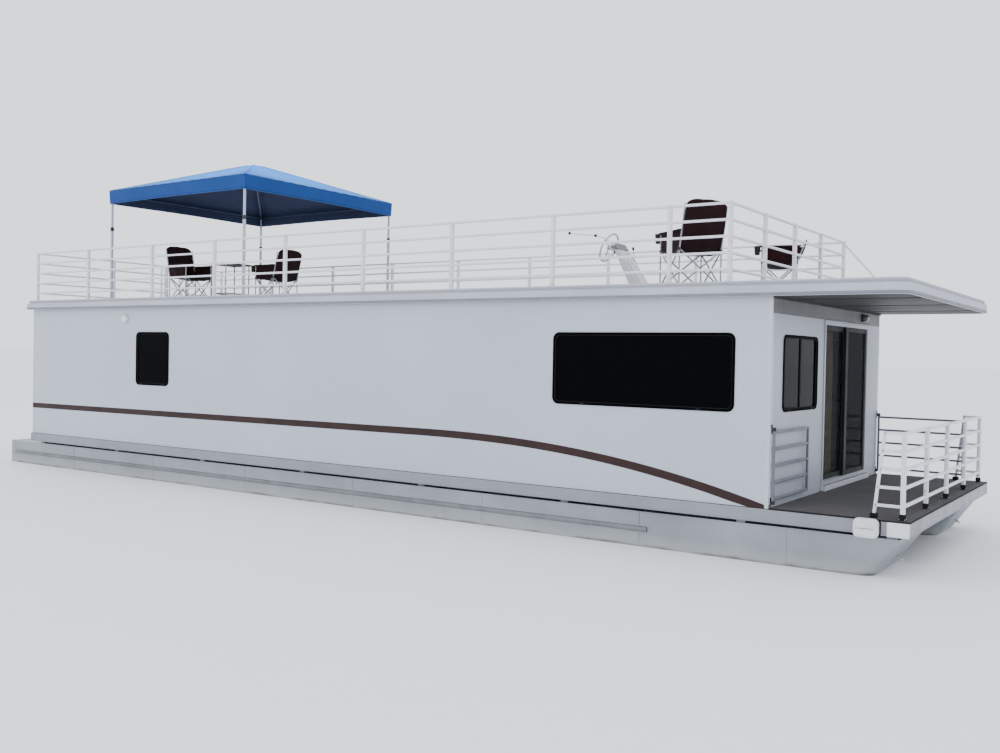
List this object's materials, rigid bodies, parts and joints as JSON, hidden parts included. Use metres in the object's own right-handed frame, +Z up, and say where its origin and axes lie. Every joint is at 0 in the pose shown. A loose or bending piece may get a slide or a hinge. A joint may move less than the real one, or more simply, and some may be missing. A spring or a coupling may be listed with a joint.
{
  "type": "houseboat",
  "caption": "Twin-hull houseboat with a long box cabin, a railed roof deck with a sun canopy, a railed bow deck with side gates and a tilting outboard.",
  "frame": {"origin": "middle of the bounding box's bottom face, on the level where the two flat hull bottoms stand", "axes": "+X towards the bow, +Y to port, +Z up"},
  "size_m": [16.7, 4.5, 5.88],
  "materials": {
    "hull_metal": "dull mill finish",
    "frame_metal": "dull",
    "edge_paint": "satin",
    "deck_carpet": "short pile",
    "cabin_floor_board": "sealed board",
    "wall_paint": "satin white",
    "roof_shell": "weathered gel coat",
    "rail_paint": "white powder coat",
    "dark_glazing": "dark tint in black frames",
    "door_metal": "bronze anodised",
    "hinge_metal": "black",
    "stripe_paint": "dark brown tape",
    "fender_vinyl": "white vinyl",
    "lamp_cover": "white",
    "motor_metal": "dark enamel",
    "motor_cover": "gloss black",
    "propeller_metal": "bare",
    "helm_shell": "gel coat",
    "wheel_plastic": "moulded grip",
    "canopy_fabric": "coated canvas",
    "chair_metal": "grey enamel",
    "chair_fabric": "dark maroon canvas",
    "table_top": "dark"
  },
  "bodies": {
    "boat": {"hull_starboard": "hull_metal", "hull_port": "hull_metal", "underdeck_frame": "frame_metal", "deck": "frame_metal", "deck_edge_board": "edge_paint", "bow_carpet": "deck_carpet", "cabin_floor": "cabin_floor_board", "wall_starboard": "wall_paint", "window_starboard_fore": "dark_glazing", "window_starboard_aft": "dark_glazing", "wall_port": "wall_paint", "window_port_fore": "dark_glazing", "window_port_aft": "dark_glazing", "wall_front": "wall_paint", "wall_stern": "wall_paint", "window_front": "dark_glazing", "window_stern": "dark_glazing", "patio_door_frame": "door_metal", "patio_door_fixed": "dark_glazing", "stern_door_hinge": "hinge_metal", "stripe_starboard": "stripe_paint", "stripe_port": "stripe_paint", "roof": "roof_shell", "roof_rail_starboard": "rail_paint", "roof_rail_port": "rail_paint", "roof_rail_bow": "rail_paint", "roof_rail_stern": "rail_paint", "bow_rail": "rail_paint", "gate_hinge_starboard": "hinge_metal", "gate_hinge_port": "hinge_metal", "bow_fender_starboard": "fender_vinyl", "bow_fender_port": "fender_vinyl", "side_lamp_starboard": "lamp_cover", "side_lamp_port": "lamp_cover", "porch_lamp": "lamp_cover", "stern_platform": "frame_metal", "stern_ladder": "rail_paint", "transom_bracket": "motor_metal", "helm_console": "helm_shell", "canopy_top": "canopy_fabric", "canopy_frame": "rail_paint", "chair_a_frame": "chair_metal", "chair_a_sling": "chair_fabric", "chair_b_frame": "chair_metal", "chair_b_sling": "chair_fabric", "chair_c_frame": "chair_metal", "chair_c_sling": "chair_fabric", "chair_d_frame": "chair_metal", "chair_d_sling": "chair_fabric", "deck_table": "table_top"},
    "gate_starboard": {"gate_starboard": "rail_paint"},
    "gate_port": {"gate_port": "rail_paint"},
    "patio_door": {"patio_door_sliding": "dark_glazing"},
    "stern_door": {"stern_door": "wall_paint"},
    "swivel": {"motor_swivel": "motor_metal"},
    "motor": {"motor_cowl": "motor_cover", "motor_leg": "motor_metal"},
    "propeller": {"propeller": "propeller_metal"},
    "helm_wheel": {"helm_wheel": "wheel_plastic"}
  },
  "joints": [
    {"name": "gate_starboard_swing", "type": "hinge", "parent": "boat", "child": "gate_starboard", "pos_m": [6.965, -2.095, 1.4], "axis": [0, 0, -1], "range_deg": [0, 85]},
    {"name": "gate_port_swing", "type": "hinge", "parent": "boat", "child": "gate_port", "pos_m": [6.965, 2.095, 1.4], "axis": [0, 0, -1], "range_deg": [0, 85]},
    {"name": "patio_door_slide", "type": "slide", "parent": "boat", "child": "patio_door", "axis": [0, 1, 0], "range_m": [0, 0.86]},
    {"name": "stern_door_swing", "type": "hinge", "parent": "boat", "child": "stern_door", "pos_m": [-6.802, -1.18, 2], "axis": [0, 0, 1], "range_deg": [0, 100]},
    {"name": "motor_tilt", "type": "hinge", "parent": "boat", "child": "swivel", "pos_m": [-7.745, 0, 0.905], "axis": [0, 1, 0], "range_deg": [0, 60]},
    {"name": "motor_steer", "type": "hinge", "parent": "swivel", "child": "motor", "pos_m": [-7.83, 0, 0.75], "axis": [0, 0, 1], "range_deg": [-35, 35]},
    {"name": "propeller_spin", "type": "hinge", "parent": "motor", "child": "propeller", "pos_m": [-8.15, 0, 0.23], "axis": [1, 0, 0], "continuous": true},
    {"name": "helm_wheel_turn", "type": "hinge", "parent": "boat", "child": "helm_wheel", "pos_m": [4.204, -0.7, 3.975], "axis": [-0.9004, 0, 0.435], "range_deg": [-540, 540]}
  ],
  "couplings": [
    {"joint": "helm_wheel_turn", "follows": "motor_steer", "ratio": 15.42}
  ]
}
